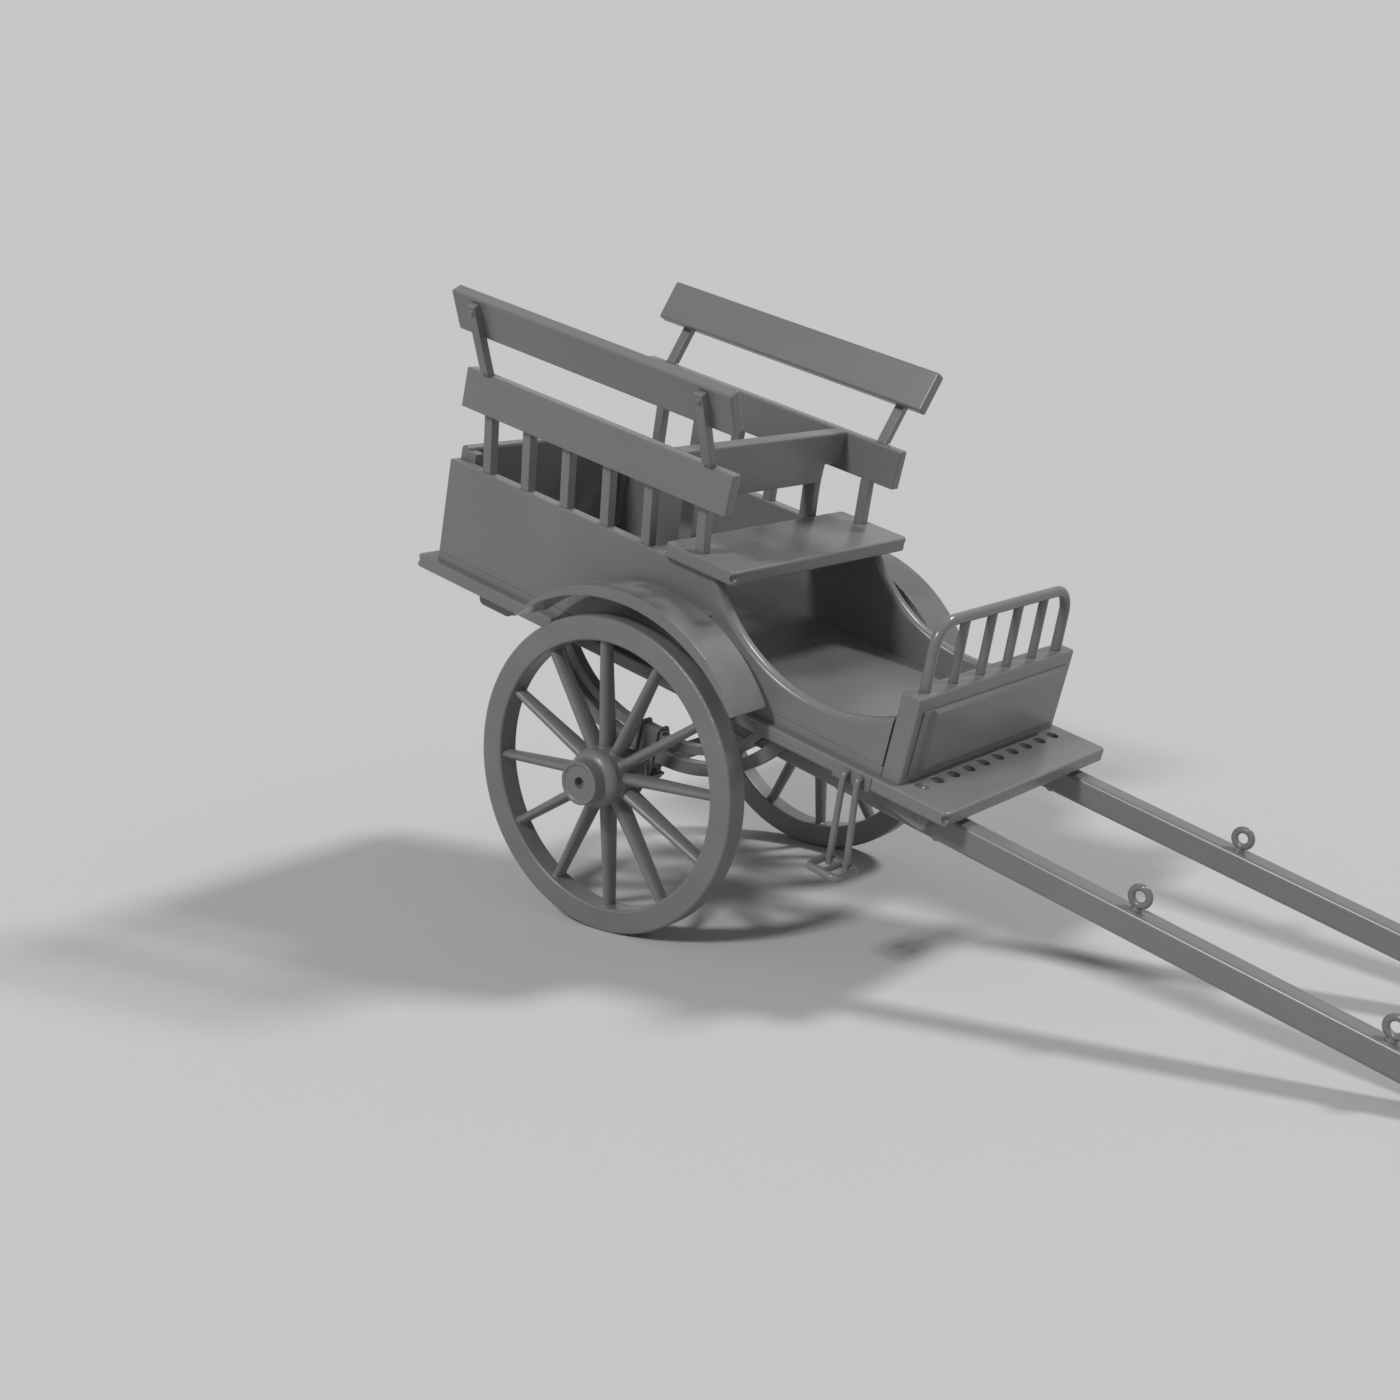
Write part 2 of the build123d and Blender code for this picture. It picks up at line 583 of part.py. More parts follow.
with BuildPart() as shaft_packing:
    with BuildSketch(Plane.XZ.offset(-shaft_y - PACKING_WIDTH / 2)):
        Polygon(
            (PACKING_REAR, floor_under),
            (PACKING_REAR, shaft_top(PACKING_REAR)),
            (PACKING_FRONT, shaft_top(PACKING_FRONT)),
            (PACKING_FRONT, floor_under),
            align=None,
        )
    extrude(amount=PACKING_WIDTH)

# Eyes on the shafts: a ring with a short cylindrical bore on a stem
eye_height = EYE_NECK + EYE_RING_RADIUS + EYE_WIRE_RADIUS
with BuildPart() as shaft_eyes:
    for eye_x in EYE_XS:
        seat = Plane(
            origin=(eye_x, shaft_y, shaft_top(eye_x)),
            x_dir=(cos(droop), 0, -sin(droop)),
            z_dir=(sin(droop), 0, cos(droop)),
        )
        centre = seat.from_local_coords((0, 0, eye_height))
        ring_section = Plane(origin=centre, x_dir=seat.z_dir, z_dir=seat.x_dir)
        with BuildSketch(seat):
            Circle(EYE_STEM_RADIUS)
        extrude(amount=eye_height - EYE_RING_RADIUS)
        with Locations(seat):
            Cone(
                EYE_FOOT_RADIUS,
                EYE_STEM_RADIUS,
                EYE_FOOT_HEIGHT,
                align=(Align.CENTER, Align.CENTER, Align.MIN),
            )
        with BuildSketch(ring_section):
            with Locations((EYE_RING_RADIUS, 0)):
                Circle(EYE_WIRE_RADIUS)
            Rectangle(2 * EYE_BORE_RADIUS, 2 * EYE_WIRE_RADIUS, mode=Mode.SUBTRACT)
        revolve(axis=Axis(centre, (0, 1, 0)))

# Short blocks under the floor, in line with the springs
with BuildPart() as floor_blocks:
    with BuildSketch(Plane.XZ.offset(-block_outer_y)):
        with BuildLine():
            FilletPolyline(
                (REAR_BLOCK[1], floor_under),
                (REAR_BLOCK[1], floor_under - REAR_BLOCK_DEPTH),
                (REAR_BLOCK[0], floor_under - REAR_BLOCK_DEPTH),
                (REAR_BLOCK[0], floor_under),
                radius=REAR_BLOCK_ROUND,
            )
            Line((REAR_BLOCK[0], floor_under), (REAR_BLOCK[1], floor_under))
        make_face()
        with BuildLine():
            FilletPolyline(
                (FRONT_BLOCK[0], floor_under),
                (FRONT_BLOCK[0], floor_under - FRONT_BLOCK_DEPTHS[0]),
                (FRONT_BLOCK[1], floor_under - FRONT_BLOCK_DEPTHS[1]),
                (FRONT_BLOCK[1], floor_under),
                radius=FRONT_BLOCK_ROUND,
            )
            Line((FRONT_BLOCK[1], floor_under), (FRONT_BLOCK[0], floor_under))
        make_face()
    extrude(amount=BLOCK_WIDTH)

# Leaf springs, clamped flat over the axle and curving up to the floor
spring_centre_z = SPRING_SEAT + SPRING_LOWER[0]
spring_rise = spring_centre_z - floor_under
spring_outer_y = block_outer_y - BLOCK_WIDTH / 2 + SPRING_WIDTH / 2
with BuildPart() as leaf_spring:
    with BuildSketch(Plane.XZ.offset(-spring_outer_y)):
        for radius, thick in (SPRING_LOWER, SPRING_UPPER):
            with BuildLine():
                outline = []
                for bend in (radius, radius - thick):
                    flat_end = (SPRING_FLAT, spring_centre_z - bend)
                    turn = degrees(acos(spring_rise / bend))
                    outline.append(JernArc(flat_end, (1, 0), bend, turn))
                under, over = outline
                Line(under @ 1, over @ 1)
                Polyline(
                    under @ 0,
                    (0, spring_centre_z - radius),
                    (0, spring_centre_z - radius + thick),
                    over @ 0,
                )
            make_face()
        mirror(about=Plane.YZ)
    extrude(amount=SPRING_WIDTH)

spring_lower_top = spring_centre_z - SPRING_LOWER[0] + SPRING_LOWER[1]
spring_upper_under = spring_centre_z - SPRING_UPPER[0]
spring_upper_top = spring_upper_under + SPRING_UPPER[1]
clamp_table = (
    # underside, top
    (AXLE_BEAM_SIDE / 2, SPRING_SEAT),
    (spring_lower_top, spring_upper_under),
    (spring_upper_top, spring_upper_top + CLAMP_CAP),
)
plate_under = -AXLE_BEAM_SIDE / 2 - CLAMP_PLATE
bolt_over = spring_upper_top + CLAMP_CAP + CLAMP_BOLT_RADIUS - CLAMP_BOLT_SEAT
bolt_beside = CLAMP_BOLT_RADIUS + CLAMP_BOLT_GAP
bolt_outer_y = spring_outer_y + bolt_beside
bolt_inner_y = spring_outer_y - SPRING_WIDTH - bolt_beside
with BuildPart() as spring_clamp:
    for block_under, block_top in clamp_table:
        with BuildSketch(Plane.XZ.offset(-spring_outer_y)):
            with Locations((0, (block_under + block_top) / 2)):
                Rectangle(CLAMP_LENGTH, block_top - block_under)
        extrude(amount=SPRING_WIDTH)
    with BuildSketch(Plane.XZ.offset(-spring_outer_y - CLAMP_PLATE_OVERHANG)):
        with Locations((0, plate_under + CLAMP_PLATE / 2)):
            Rectangle(CLAMP_LENGTH, CLAMP_PLATE)
    extrude(amount=SPRING_WIDTH + 2 * CLAMP_PLATE_OVERHANG)
    for end in (-1, 1):
        with BuildLine(Plane.YZ.offset(end * CLAMP_BOLT_SPACING / 2)) as bolt_path:
            FilletPolyline(
                (bolt_inner_y, plate_under - CLAMP_BOLT_TAIL),
                (bolt_inner_y, bolt_over),
                (bolt_outer_y, bolt_over),
                (bolt_outer_y, plate_under - CLAMP_BOLT_TAIL),
                radius=CLAMP_BOLT_BEND,
            )
        with BuildSketch(Plane(origin=bolt_path.line @ 0, z_dir=bolt_path.line % 0)):
            Circle(CLAMP_BOLT_RADIUS)
        sweep(path=bolt_path.line)

# Mudguard: a crescent in side view, pointed at the rear
def polar(angle, radius):
    """Point at an angle from +X and a radius about the axle, in side view."""
    return (radius * cos(radians(angle)), radius * sin(radians(angle)))


guard_front_under = polar(GUARD_FRONT_ANGLE, WHEEL_RADIUS + GUARD_FRONT_GAP)
guard_front_top = polar(GUARD_FRONT_ANGLE, WHEEL_RADIUS + GUARD_FRONT_GAP + GUARD_FRONT_THICK)
guard_crest_under = polar(GUARD_CREST_ANGLE, WHEEL_RADIUS + GUARD_CREST_GAP)
guard_crest_top = polar(GUARD_CREST_ANGLE, WHEEL_RADIUS + GUARD_CREST_GAP + GUARD_CREST_THICK)
guard_rear = polar(GUARD_REAR_ANGLE, WHEEL_RADIUS + GUARD_REAR_GAP)
guard_outer_y = wheel_y + GUARD_PAST_WHEEL
guard_inner_y = panel_outer_y + GUARD_PANEL_GAP
with BuildPart() as mudguard:
    with BuildSketch(Plane.XZ.offset(-guard_outer_y)):
        with BuildLine():
            ThreePointArc(guard_front_top, guard_crest_top, guard_rear)
            ThreePointArc(guard_front_under, guard_crest_under, guard_rear)
            Line(guard_front_top, guard_front_under)
        make_face()
    extrude(amount=guard_outer_y - guard_inner_y)
    guard_end = mudguard.faces().filter_by(GeomType.PLANE).filter_by(Axis.Y, reverse=True)
    inner_corner = guard_end.edges().filter_by(Axis.Y, reverse=True).group_by(Axis.Y)[0]
    fillet(inner_corner, GUARD_CORNER_ROUND)
    for stay_angle in GUARD_STAY_ANGLES:
        with BuildSketch(Plane.XZ.offset(-guard_inner_y)):
            with Locations(Location(polar(stay_angle, WHEEL_RADIUS + GUARD_STAY_GAP), stay_angle)):
                Rectangle(GUARD_STAY_THICK, GUARD_STAY_WIDTH)
        extrude(amount=GUARD_PANEL_GAP)

# Step on the right side: a plate on the floor's edge, and a tread hung on two hooked rods
plate_outer_y = FLOOR_HALF_WIDTH + STEP_PLATE_THICK
with BuildPart() as step_plate:
    with BuildSketch(Plane.XZ.offset(-plate_outer_y)):
        with Locations((sum(STEP_PLATE) / 2, FLOOR_TOP - STEP_PLATE_DROP - FLOOR_THICK / 2)):
            Rectangle(STEP_PLATE[1] - STEP_PLATE[0], FLOOR_THICK)
    extrude(amount=STEP_PLATE_THICK)

rod_y = plate_outer_y + STEP_REACH
rod_head_z = FLOOR_TOP - STEP_ROD_BELOW_TOP
rod_foot_z = STEP_TREAD_HEIGHT - STEP_ROD_PAST_TREAD
tread_inner_y = plate_outer_y + STEP_TREAD_GAP
tread_outer_y = tread_inner_y + STEP_TREAD_WIDTH
with BuildPart() as step:
    for head_x, foot_x in zip(STEP_ROD_HEADS, STEP_ROD_FEET):
        with BuildLine() as rod_path:
            FilletPolyline(
                (head_x, plate_outer_y, rod_head_z),
                (head_x, rod_y, rod_head_z),
                (foot_x, rod_y, rod_foot_z),
                radius=STEP_ROD_BEND,
            )
        with BuildSketch(Plane(origin=rod_path.line @ 0, z_dir=rod_path.line % 0)):
            Circle(STEP_ROD_RADIUS)
        sweep(path=rod_path.line)
    with BuildLine(Plane.XY.offset(STEP_TREAD_HEIGHT)) as tread_path:
        FilletPolyline(
            (STEP_TREAD[1], tread_inner_y),
            (STEP_TREAD[1], tread_outer_y),
            (STEP_TREAD[0], tread_outer_y),
            (STEP_TREAD[0], tread_inner_y),
            radius=STEP_TREAD_CORNER,
            close=True,
        )
    with BuildSketch(Plane(origin=tread_path.line @ 0, z_dir=tread_path.line % 0)):
        Circle(STEP_TREAD_RADIUS)
    sweep(path=tread_path.line)
    with BuildSketch(Plane.XZ.offset(-tread_outer_y)):
        with Locations((sum(STEP_TREAD) / 2, STEP_TREAD_HEIGHT)):
            Circle(STEP_BAR_RADIUS)
    extrude(amount=STEP_TREAD_WIDTH)

# Park the cart: tip it about the axle until the shaft tips touch the ground, and
# set the origin on the ground under the middle of the whole cart
STANDING = Location((0, wheel_y, 0), (-90, 0, 0))
TIPPED = Location((0, 0, 0), (0, parked_tilt, 0))

paired = {
    "rim": rim.part.moved(STANDING),
    "spokes": spokes.part.moved(STANDING),
    "hub": hub.part.moved(STANDING),
    "side_panel": side_panel.part.moved(TIPPED),
    "corner_post": corner_post.part.moved(TIPPED),
    "swept_panel": swept_panel.part.moved(TIPPED),
    "rail_posts": rail_posts.part.moved(TIPPED),
    "lower_rail": lower_rail.part.moved(TIPPED),
    "upper_rail": upper_rail.part.moved(TIPPED),
    "rail_brackets": rail_brackets.part.moved(TIPPED),
    "shaft": shaft.part.moved(TIPPED),
    "shaft_packing": shaft_packing.part.moved(TIPPED),
    "shaft_eyes": shaft_eyes.part.moved(TIPPED),
    "floor_blocks": floor_blocks.part.moved(TIPPED),
    "leaf_spring": leaf_spring.part.moved(TIPPED),
    "spring_clamp": spring_clamp.part.moved(TIPPED),
    "mudguard": mudguard.part.moved(TIPPED),
}
central = {
    "axle_beam": axle_beam.part.moved(TIPPED),
    "floor_board": floor_board.part.moved(TIPPED),
    "floor_lining": floor_lining.part.moved(TIPPED),
    "tail_board": tail_board.part.moved(TIPPED),
    "dash_board": dash_board.part.moved(TIPPED),
    "dash_panel": dash_panel.part.moved(TIPPED),
    "dash_hoop": dash_hoop.part.moved(TIPPED),
    "dash_spindles": dash_spindles.part.moved(TIPPED),
    "seat_plank": seat_plank.part.moved(TIPPED),
    "seat_beam": seat_beam.part.moved(TIPPED),
    "cross_rail": cross_rail.part.moved(TIPPED),
    "cross_posts": cross_posts.part.moved(TIPPED),
    "step_plate": step_plate.part.mirror(Plane.XZ).moved(TIPPED),
    "step": step.part.mirror(Plane.XZ).moved(TIPPED),
}
pieces = dict(central)
for name, part in paired.items():
    pieces[name + "_left"] = part
    pieces[name + "_right"] = part.mirror(Plane.XZ)

boxes = [piece.bounding_box() for piece in pieces.values()]
rearmost = min(box.min.X for box in boxes)
foremost = max(box.max.X for box in boxes)
on_ground = Location((-(rearmost + foremost) / 2, 0, WHEEL_RADIUS))

os.makedirs("parts", exist_ok=True)
for name, piece in pieces.items():
    parked = piece.moved(on_ground)
    parked.label = name
    export_step(parked, f"parts/{name}.step")
print(f"parked tilt {parked_tilt:.3f} degrees, axle at x = {on_ground.position.X:.3f} mm")
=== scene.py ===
# %% [markdown]
# # A two-wheeled passenger cart
# The cart stands parked on its two wheels and on the tips of its shafts, in one coat of grey paint. Its
# solids come ready from the frame: boards, rails, wheels, springs. This lesson adds what a painter and a
# smith would add afterwards: the paint itself, the bolts and nuts that hold the boards, the swelling where
# each spoke enters its hub and rim, and the light to see them in.

# %% Load the frame
from math import radians

import bpy
import numpy as np
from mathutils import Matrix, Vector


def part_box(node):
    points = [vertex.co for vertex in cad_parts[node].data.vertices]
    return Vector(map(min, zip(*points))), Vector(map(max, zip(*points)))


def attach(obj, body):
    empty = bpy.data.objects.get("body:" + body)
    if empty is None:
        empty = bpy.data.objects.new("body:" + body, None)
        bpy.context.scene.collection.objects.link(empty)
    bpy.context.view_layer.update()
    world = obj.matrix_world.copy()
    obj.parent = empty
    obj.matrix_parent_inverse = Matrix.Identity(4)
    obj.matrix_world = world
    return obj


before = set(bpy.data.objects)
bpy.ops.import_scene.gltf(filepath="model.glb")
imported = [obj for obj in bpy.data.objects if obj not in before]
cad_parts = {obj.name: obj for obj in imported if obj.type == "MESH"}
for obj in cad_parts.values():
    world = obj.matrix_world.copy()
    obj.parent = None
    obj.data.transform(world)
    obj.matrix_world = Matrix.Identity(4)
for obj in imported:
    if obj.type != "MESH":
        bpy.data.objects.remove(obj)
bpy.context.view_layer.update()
rim_low, rim_high = (np.array(corner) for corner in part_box("rim_left"))
axle = np.array(((rim_low[0] + rim_high[0]) / 2, 0.0, (rim_low[2] + rim_high[2]) / 2))
wheel_y = (rim_low[1] + rim_high[1]) / 2
print("nodes", len(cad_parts), "axle at", axle.round(4))
print("wheels", round(wheel_y, 4), "m to each side")

# %% [markdown]
# ## The parked slope
# Everything but the wheels was drawn with its floor level and then tipped about the axle until the shaft
# tips touched the ground. A bolt is easier to place on the level cart, so one helper turns directions by
# that angle, and another turns points and moves them to the parked axle as well.

# %% Tip points from the level cart to the parked one
TILT = radians(14.642)
TIP = np.array(
    (
        (np.cos(TILT), 0.0, np.sin(TILT)),
        (0.0, 1.0, 0.0),
        (-np.sin(TILT), 0.0, np.cos(TILT)),
    )
)


def tipped(directions):
    """Level directions turned about Y by the tilt: each row times the rotation's transpose."""
    return np.atleast_2d(directions) @ TIP.T


def parked(points):
    """Level points in metres about the axle, turned by the tilt and moved to the parked axle."""
    return tipped(points) + axle


print("a point one metre ahead of the axle parks at", parked((1.0, 0.0, 0.0)).round(3))

# %% [markdown]
# ## Camera
# A camera is placed by where it stands and where it looks. Here it stands to the front right of the cart, a
# little above the rails, and looks down by under thirteen degrees with a 50 mm lens. Measuring its place
# along the cart from the axle means that the view stays right if the frame's origin moves.

# %% Place the camera
LENS = 50.0
SENSOR = 36.0
CAMERA_AHEAD = 4.5574  # metres ahead of the axle
CAMERA_BESIDE = -5.9672
CAMERA_HEIGHT = 2.4495
LOOKS_DOWN = 12.7  # degrees below level
LOOKS_ROUND = 38.056  # degrees round from square to the side
camera_data = bpy.data.cameras.new("cart_camera")
camera_data.lens = LENS
camera_data.sensor_width = SENSOR
camera = bpy.data.objects.new("cart_camera", camera_data)
camera.location = (axle[0] + CAMERA_AHEAD, CAMERA_BESIDE, CAMERA_HEIGHT)
camera.rotation_euler = (radians(90.0 - LOOKS_DOWN), 0.0, radians(LOOKS_ROUND))
bpy.context.scene.collection.objects.link(camera)
bpy.context.scene.camera = camera
print("camera at", tuple(round(v, 3) for v in camera.location))

# %% [markdown]
# ## Light
# Lamps close to the cart would leave the far floor dark, and a pale floor needs even light. Two wide suns
# light everything alike at any distance: a key light from the near side, half way up, which reaches under
# the floor's edge, and one over the far shaft that lights the inside of the box and draws bright lines on
# the round pieces. The sky fills the rest. The light that reaches the open floor is added up on the way: a
# sun gives its strength times the height of its direction, over pi.

# %% Hang two soft suns
LAMPS = (
    # name, direction that it comes from, strength, width in degrees
    ("key_light", (-0.05, -0.90, 0.85), 1.55, 10.0),
    ("far_light", (0.38, 0.68, 0.95), 1.5, 10.0),
)
LAMP_DISTANCE = 8.0
SKY_LIGHT = 0.24
floor_light = SKY_LIGHT
for name, comes_from, strength, width in LAMPS:
    lamp_data = bpy.data.lights.new(name, "SUN")
    lamp_data.energy = strength
    lamp_data.angle = radians(width)
    lamp = bpy.data.objects.new(name, lamp_data)
    x, y, z = np.array(comes_from) / np.linalg.norm(comes_from)
    lamp.rotation_euler = (np.arccos(z), 0.0, np.arctan2(x, -y))
    lamp.location = axle + np.array((x, y, z)) * LAMP_DISTANCE
    bpy.context.scene.collection.objects.link(lamp)
    floor_light += strength * z / np.pi
bpy.context.scene.view_settings.view_transform = "Standard"
print("lamps", len(LAMPS), "light that reaches the open floor", round(floor_light, 3))

# %% [markdown]
# ## Floor
# A pale floor shows the shadow that ties the cart to the ground. A matt floor has one brightness everywhere
# under even light: its colour times the light that reaches it. Two helpers come first, because every later
# piece needs them: one starts a material, the other turns arrays into a mesh.


# %% Lay the floor
def node_material(name):
    """A new material with an empty node tree, its shader and its output joined."""
    material = bpy.data.materials.new(name)
    material.use_nodes = True
    tree = material.node_tree
    tree.nodes.clear()
    shader = tree.nodes.new("ShaderNodeBsdfPrincipled")
    output = tree.nodes.new("ShaderNodeOutputMaterial")
    tree.links.new(shader.outputs["BSDF"], output.inputs["Surface"])
    return material, tree, shader


def mesh_object(name, points, faces, smooth):
    """A mesh object at the origin from an array of points and a list of faces."""
    mesh = bpy.data.meshes.new(name)
    mesh.from_pydata(points.reshape(-1, 3).tolist(), [], faces)
    mesh.polygons.foreach_set("use_smooth", np.full(len(faces), smooth))
    thing = bpy.data.objects.new(name, mesh)
    bpy.context.scene.collection.objects.link(thing)
    return thing


FLOOR_REACH = 60.0
FLOOR_COLOUR = 0.60
corners = np.array(((-1, -1, 0), (1, -1, 0), (1, 1, 0), (-1, 1, 0))) * FLOOR_REACH
floor = mesh_object("pale_floor", corners, [(0, 1, 2, 3)], smooth=False)
floor_paint, _, floor_shader = node_material("pale_floor")
floor_shader.inputs["Base Color"].default_value = (FLOOR_COLOUR, FLOOR_COLOUR, FLOOR_COLOUR, 1.0)
floor_shader.inputs["Roughness"].default_value = 1.0
floor_shader.inputs["Specular IOR Level"].default_value = 0.0
floor.data.materials.append(floor_paint)
floor_shows = FLOOR_COLOUR * floor_light
print("open floor shows", round(floor_shows, 3))

# %% [markdown]
# ## Sky
# A backdrop could be a curved wall, but it would end somewhere. Giving the sky the floor's own brightness
# hides the line where the two meet, at any distance. Light Path tells which ray is asking: the camera,
# reflections and clear things see that brightness, and for lighting the sky stays dimmer.

# %% Set the sky
WHITE = (1.0, 1.0, 1.0, 1.0)
world = bpy.data.worlds.new("pale_studio")
bpy.context.scene.world = world
world.use_nodes = True
sky_nodes, sky_links = world.node_tree.nodes, world.node_tree.links
fill = sky_nodes["Background"]
fill.inputs["Color"].default_value = WHITE
fill.inputs["Strength"].default_value = SKY_LIGHT
seen = sky_nodes.new("ShaderNodeBackground")
seen.inputs["Color"].default_value = WHITE
seen.inputs["Strength"].default_value = floor_shows
ray = sky_nodes.new("ShaderNodeLightPath")
either = sky_nodes.new("ShaderNodeMath")
either.operation = "MAXIMUM"
sky_links.new(ray.outputs["Is Camera Ray"], either.inputs[0])
sky_links.new(ray.outputs["Is Glossy Ray"], either.inputs[1])
any_of = sky_nodes.new("ShaderNodeMath")
any_of.operation = "MAXIMUM"
sky_links.new(either.outputs["Value"], any_of.inputs[0])
sky_links.new(ray.outputs["Is Transmission Ray"], any_of.inputs[1])
choice = sky_nodes.new("ShaderNodeMixShader")
sky_links.new(any_of.outputs["Value"], choice.inputs["Fac"])
sky_links.new(fill.outputs["Background"], choice.inputs[1])
sky_links.new(seen.outputs["Background"], choice.inputs[2])
sky_links.new(choice.outputs["Shader"], sky_nodes["World Output"].inputs["Surface"])
print("sky lights with", SKY_LIGHT, "and shows", round(floor_shows, 3))

# %% [markdown]
# ## Painted edge highlights
# A rounded edge catches the light in a thin bright line, and here that line is painted into the colour: the
# paint is made paler along every edge, a painted highlight. A picture painted by hand could carry that, but
# it would have to be painted again whenever a board moves. The Bevel node finds the edges by itself: near
# one, its rounded normal leaves the true one, and that difference is where the highlight is painted. The
# rounded normal is passed on too, because it lets a sharp edge catch the real light as a rounded one does.

# %% Find the edges for the painted highlight
EDGE_RADIUS = 0.005
EDGE_SAMPLES = 6
HIGHLIGHT_STARTS, HIGHLIGHT_FULL = 0.98, 0.80  # how alike the two normals are
HIGHLIGHT_MOST = 0.5
# Painted highlight: the paler colour mixed in along every edge
HIGHLIGHT_PAINT = (0.300, 0.300, 0.297, 1.0)


def painted_edge_highlight(tree, tone):
    """The tone with a painted highlight, paler where the rounded normal leaves the true one; returns colour
    and rounded normal.
    """
    nodes, links = tree.nodes, tree.links
    rounded = nodes.new("ShaderNodeBevel")
    rounded.samples = EDGE_SAMPLES
    rounded.inputs["Radius"].default_value = EDGE_RADIUS
    surface = nodes.new("ShaderNodeNewGeometry")
    alike = nodes.new("ShaderNodeVectorMath")
    alike.operation = "DOT_PRODUCT"
    links.new(rounded.outputs["Normal"], alike.inputs[0])
    links.new(surface.outputs["Normal"], alike.inputs[1])
    # The share of painted highlight grows as the two normals part
    highlight_share = nodes.new("ShaderNodeMapRange")
    highlight_share.inputs["From Min"].default_value = HIGHLIGHT_STARTS
    highlight_share.inputs["From Max"].default_value = HIGHLIGHT_FULL
    highlight_share.inputs["To Max"].default_value = HIGHLIGHT_MOST
    links.new(alike.outputs["Value"], highlight_share.inputs["Value"])
    mix = nodes.new("ShaderNodeMix")
    mix.data_type = "RGBA"
    mix.inputs["B"].default_value = HIGHLIGHT_PAINT
    links.new(highlight_share.outputs["Result"], mix.inputs["Factor"])
    links.new(tone, mix.inputs["A"])
    return mix.outputs["Result"], rounded.outputs["Normal"]


# Painted highlight: the paint is made paler within this distance of an edge
print("paint is rubbed within", EDGE_RADIUS, "m of an edge")

# %% [markdown]
# ## What every paint is made of
# A coat of paint varies in three ways: its tone, its sheen and its relief. Each can follow a noise, which
# has detail at any distance and no seams. Four small helpers lay these down, so that the paint for wood and
# the paint for iron differ only in their numbers.


# %% Mix tone, sheen and relief
def noise(tree, coordinates, scale, detail):
    """A cloudy noise between 0 and 1 on the given coordinates."""
    cloud = tree.nodes.new("ShaderNodeTexNoise")
    cloud.inputs["Scale"].default_value = scale
    cloud.inputs["Detail"].default_value = detail
    tree.links.new(coordinates, cloud.inputs["Vector"])
    return cloud


def two_tones(tree, value, limits, tones):
    """A colour that runs from the first tone to the second as the value runs between the limits."""
    ramp = tree.nodes.new("ShaderNodeValToRGB")
    for element, position, tone in zip(ramp.color_ramp.elements, limits, tones):
        element.position = position
        element.color = tone
    tree.links.new(value, ramp.inputs["Fac"])
    return ramp.outputs["Color"]


def broken_sheen(tree, shader, value, smoothest, dullest):
    """Roughness that follows the value between two limits."""
    sheen = tree.nodes.new("ShaderNodeMapRange")
    sheen.inputs["To Min"].default_value = smoothest
    sheen.inputs["To Max"].default_value = dullest
    tree.links.new(value, sheen.inputs["Value"])
    tree.links.new(sheen.outputs["Result"], shader.inputs["Roughness"])


def low_relief(tree, shader, value, rounded, strength, depth):
    """A bump of the given depth in metres, laid over the rounded normal."""
    relief = tree.nodes.new("ShaderNodeBump")
    relief.inputs["Strength"].default_value = strength
    relief.inputs["Distance"].default_value = depth
    tree.links.new(value, relief.inputs["Height"])
    tree.links.new(rounded, relief.inputs["Normal"])
    tree.links.new(relief.outputs["Normal"], shader.inputs["Normal"])


print("a paint is a tone, a sheen and a relief")

# %% [markdown]
# ## Grey paint on wood
# Paint brushed on boards keeps a trace of the wood: long low streaks along the grain, and a sheen that is a
# little broken. A noise stretched along the board gives the streaks. The coordinates are turned by the
# parked slope first, so that the streaks run with the boards, and three turns of the same finish follow
# boards that lie along the cart, across it, and upright.

# %% Mix the wood paint
WOOD_TONES = ((0.186, 0.186, 0.188, 1.0), (0.206, 0.206, 0.206, 1.0))
WOOD_LIMITS = (0.45, 0.95)
GRAIN_ALONG, GRAIN_ACROSS = 3.0, 60.0  # streaks in a metre
GRAIN_DETAIL = 5.0
GRAIN_BREAKS = 0.55
GRAIN_SHARE = 0.45
PATCH_SCALE, PATCH_DETAIL = 2.6, 3.0
WOOD_SMOOTHEST, WOOD_DULLEST = 0.25, 0.31
WOOD_RELIEF, WOOD_DEPTH = 0.03, 0.0015


